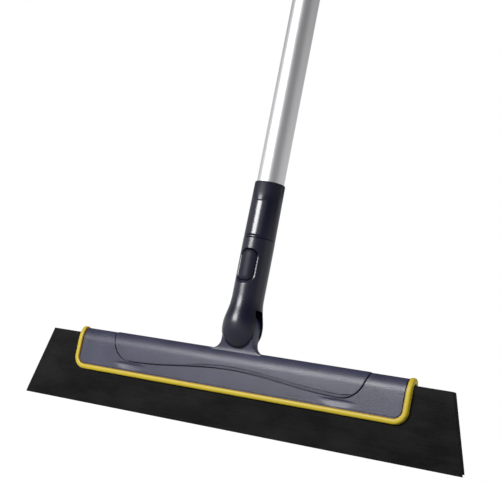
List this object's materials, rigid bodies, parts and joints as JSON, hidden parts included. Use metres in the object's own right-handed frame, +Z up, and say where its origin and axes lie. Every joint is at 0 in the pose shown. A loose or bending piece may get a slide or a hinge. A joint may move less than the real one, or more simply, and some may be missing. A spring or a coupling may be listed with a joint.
{
  "type": "floor squeegee",
  "caption": "Long-handled floor squeegee: foam blade in a rimmed saddle head that swings on a forked neck, push-button handle release, sectional aluminium pole, grip and hanging loop.",
  "frame": {"origin": "middle of the blade's working edge, on the floor", "axes": "+X along the blade, -Y to the front where the button is, +Z up the pole"},
  "size_m": [0.45, 0.036, 1.2885],
  "materials": {
    "foam_black": "matte closed-cell foam",
    "head_navy": "fine moulded texture",
    "rim_yellow": "satin soft moulding",
    "neck_navy": "satin gloss",
    "button_navy": "matte",
    "insert_navy": "plain moulded",
    "grip_navy": "satin",
    "loop_yellow": "satin gloss",
    "pole_aluminium": "satin anodised",
    "steel": "plain",
    "brass": "turned",
    "nylon": "natural"
  },
  "bodies": {
    "handle": {"neck_fork": "neck_navy", "hinge_bolt": "steel", "hinge_insert": "brass", "spring_washer": "steel", "hinge_cap": "neck_navy", "sleeve": "neck_navy", "sleeve_screw": "steel", "button_spring": "steel", "pole_lower": "pole_aluminium", "pole_middle": "pole_aluminium", "pole_upper": "pole_aluminium", "lower_joint_stud": "insert_navy", "lower_joint_socket": "insert_navy", "upper_joint_stud": "insert_navy", "upper_joint_socket": "insert_navy", "end_plug": "insert_navy", "grip": "grip_navy", "hang_loop": "loop_yellow"},
    "head": {"blade": "foam_black", "head_shell": "head_navy", "edge_trim": "rim_yellow", "blade_screws": "steel", "hinge_bush": "nylon", "friction_washers": "nylon"},
    "button": {"release_button": "button_navy"}
  },
  "joints": [
    {"name": "neck_swing", "type": "hinge", "parent": "handle", "child": "head", "pos_m": [0, 0, 0.0878], "axis": [0, 1, 0], "range_deg": [-90, 90]},
    {"name": "button_press", "type": "slide", "parent": "handle", "child": "button", "axis": [0, 1, 0], "range_m": [0, 0.0036], "stiffness_N_per_m": 1500, "springref_m": -0.002, "deforming": ["button_spring"]}
  ]
}
